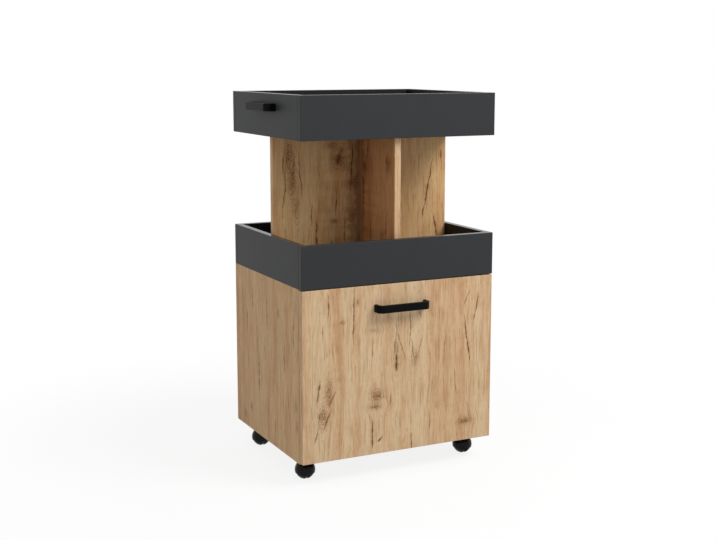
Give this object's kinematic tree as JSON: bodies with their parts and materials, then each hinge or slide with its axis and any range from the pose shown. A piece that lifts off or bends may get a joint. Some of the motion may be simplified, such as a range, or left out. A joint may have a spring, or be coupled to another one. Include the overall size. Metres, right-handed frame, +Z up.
{
  "type": "rolling bar cabinet",
  "caption": "Small rolling bar cabinet: oak-look drawer cabinet on ball castors, with an open tray, crossed upright boards and a second tray with a handle on top.",
  "frame": {"origin": "on the floor, under the middle of the whole outline, both handles included", "axes": "+Z up, the drawer front faces -Y, +X to the right of someone who faces the front"},
  "size_m": [0.526, 0.442, 0.893],
  "materials": {
    "oak": "matt, rustic oak decor",
    "anthracite": "matt anthracite decor",
    "white_board": "matt, light grey decor",
    "thin_sheet": "matt, thin fibreboard",
    "runner_steel": "white powder coat",
    "zinc": "zinc plated",
    "nylon": "satin nylon",
    "beech": "raw beech",
    "handle_black": "satin black",
    "castor_black": "satin black",
    "wheel_black": "satin black",
    "castor_steel": "zinc plated"
  },
  "bodies": {
    "cabinet": {"side_panel_left": "oak", "side_panel_right": "oak", "bottom_panel": "oak", "top_panel": "oak", "upright_panel": "oak", "divider_front": "oak", "divider_rear": "oak", "lower_tray_front": "anthracite", "lower_tray_back": "anthracite", "lower_tray_left": "anthracite", "lower_tray_right": "anthracite", "upper_tray_front": "anthracite", "upper_tray_back": "anthracite", "upper_tray_left": "anthracite", "upper_tray_right": "anthracite", "upper_tray_floor": "anthracite", "back_panel": "thin_sheet", "cabinet_runner_left": "runner_steel", "cabinet_runner_right": "runner_steel", "cabinet_runner_screws": "zinc", "cam_fittings": "zinc", "castor_screws": "zinc", "tray_handle_screws": "zinc", "wood_dowels": "beech", "tray_handle": "handle_black", "castor_front_left_plate": "castor_steel", "castor_front_right_plate": "castor_steel", "castor_rear_left_plate": "castor_steel", "castor_rear_right_plate": "castor_steel"},
    "drawer": {"drawer_front": "oak", "drawer_side_left": "white_board", "drawer_side_right": "white_board", "drawer_back": "white_board", "drawer_bottom": "thin_sheet", "drawer_handle": "handle_black", "drawer_handle_screws": "zinc", "drawer_cam_fittings": "zinc", "drawer_runner_left": "runner_steel", "drawer_runner_right": "runner_steel", "drawer_runner_screws": "zinc"},
    "cabinet_roller_left": {"cabinet_roller_left": "nylon"},
    "cabinet_roller_right": {"cabinet_roller_right": "nylon"},
    "drawer_roller_left": {"drawer_roller_left": "nylon"},
    "drawer_roller_right": {"drawer_roller_right": "nylon"},
    "castor_front_left_swivel": {"castor_front_left_hood": "castor_black", "castor_front_left_axle": "castor_steel"},
    "castor_front_left_wheel_left": {"castor_front_left_wheel_left": "wheel_black"},
    "castor_front_left_wheel_right": {"castor_front_left_wheel_right": "wheel_black"},
    "castor_front_right_swivel": {"castor_front_right_hood": "castor_black", "castor_front_right_axle": "castor_steel"},
    "castor_front_right_wheel_left": {"castor_front_right_wheel_left": "wheel_black"},
    "castor_front_right_wheel_right": {"castor_front_right_wheel_right": "wheel_black"},
    "castor_rear_left_swivel": {"castor_rear_left_hood": "castor_black", "castor_rear_left_axle": "castor_steel"},
    "castor_rear_left_wheel_left": {"castor_rear_left_wheel_left": "wheel_black"},
    "castor_rear_left_wheel_right": {"castor_rear_left_wheel_right": "wheel_black"},
    "castor_rear_right_swivel": {"castor_rear_right_hood": "castor_black", "castor_rear_right_axle": "castor_steel"},
    "castor_rear_right_wheel_left": {"castor_rear_right_wheel_left": "wheel_black"},
    "castor_rear_right_wheel_right": {"castor_rear_right_wheel_right": "wheel_black"}
  },
  "joints": [
    {"name": "drawer_slide", "type": "slide", "parent": "cabinet", "child": "drawer", "axis": [0, -1, 0], "range_m": [0, 0.27]},
    {"name": "cabinet_roller_left_spin", "type": "hinge", "parent": "cabinet", "child": "cabinet_roller_left", "pos_m": [-0.2159, -0.162, 0.0895], "axis": [1, 0, 0], "range_deg": [-1, 1548.99]},
    {"name": "cabinet_roller_right_spin", "type": "hinge", "parent": "cabinet", "child": "cabinet_roller_right", "pos_m": [0.2419, -0.162, 0.0895], "axis": [1, 0, 0], "range_deg": [-1, 1548.99]},
    {"name": "drawer_roller_left_spin", "type": "hinge", "parent": "drawer", "child": "drawer_roller_left", "pos_m": [-0.2136, 0.157, 0.0895], "axis": [1, 0, 0], "range_deg": [-1, 1548.99]},
    {"name": "drawer_roller_right_spin", "type": "hinge", "parent": "drawer", "child": "drawer_roller_right", "pos_m": [0.2396, 0.157, 0.0895], "axis": [1, 0, 0], "range_deg": [-1, 1548.99]},
    {"name": "castor_front_left_swivel_turn", "type": "hinge", "parent": "cabinet", "child": "castor_front_left_swivel", "pos_m": [-0.201, -0.116, 0.048], "axis": [0, 0, 1], "continuous": true},
    {"name": "castor_front_left_wheel_left_spin", "type": "hinge", "parent": "castor_front_left_swivel", "child": "castor_front_left_wheel_left", "pos_m": [-0.211, -0.126, 0.02189], "axis": [1, 0, 0], "continuous": true},
    {"name": "castor_front_left_wheel_right_spin", "type": "hinge", "parent": "castor_front_left_swivel", "child": "castor_front_left_wheel_right", "pos_m": [-0.191, -0.126, 0.02189], "axis": [1, 0, 0], "continuous": true},
    {"name": "castor_front_right_swivel_turn", "type": "hinge", "parent": "cabinet", "child": "castor_front_right_swivel", "pos_m": [0.227, -0.116, 0.048], "axis": [0, 0, 1], "continuous": true},
    {"name": "castor_front_right_wheel_left_spin", "type": "hinge", "parent": "castor_front_right_swivel", "child": "castor_front_right_wheel_left", "pos_m": [0.217, -0.126, 0.02189], "axis": [1, 0, 0], "continuous": true},
    {"name": "castor_front_right_wheel_right_spin", "type": "hinge", "parent": "castor_front_right_swivel", "child": "castor_front_right_wheel_right", "pos_m": [0.237, -0.126, 0.02189], "axis": [1, 0, 0], "continuous": true},
    {"name": "castor_rear_left_swivel_turn", "type": "hinge", "parent": "cabinet", "child": "castor_rear_left_swivel", "pos_m": [-0.201, 0.159, 0.048], "axis": [0, 0, 1], "continuous": true},
    {"name": "castor_rear_left_wheel_left_spin", "type": "hinge", "parent": "castor_rear_left_swivel", "child": "castor_rear_left_wheel_left", "pos_m": [-0.211, 0.149, 0.02189], "axis": [1, 0, 0], "continuous": true},
    {"name": "castor_rear_left_wheel_right_spin", "type": "hinge", "parent": "castor_rear_left_swivel", "child": "castor_rear_left_wheel_right", "pos_m": [-0.191, 0.149, 0.02189], "axis": [1, 0, 0], "continuous": true},
    {"name": "castor_rear_right_swivel_turn", "type": "hinge", "parent": "cabinet", "child": "castor_rear_right_swivel", "pos_m": [0.227, 0.159, 0.048], "axis": [0, 0, 1], "continuous": true},
    {"name": "castor_rear_right_wheel_left_spin", "type": "hinge", "parent": "castor_rear_right_swivel", "child": "castor_rear_right_wheel_left", "pos_m": [0.217, 0.149, 0.02189], "axis": [1, 0, 0], "continuous": true},
    {"name": "castor_rear_right_wheel_right_spin", "type": "hinge", "parent": "castor_rear_right_swivel", "child": "castor_rear_right_wheel_right", "pos_m": [0.237, 0.149, 0.02189], "axis": [1, 0, 0], "continuous": true}
  ],
  "couplings": [
    {"joint": "cabinet_roller_left_spin", "follows": "drawer_slide", "rad_per_m": 100},
    {"joint": "cabinet_roller_right_spin", "follows": "drawer_slide", "rad_per_m": 100},
    {"joint": "drawer_roller_left_spin", "follows": "drawer_slide", "rad_per_m": 100},
    {"joint": "drawer_roller_right_spin", "follows": "drawer_slide", "rad_per_m": 100}
  ]
}
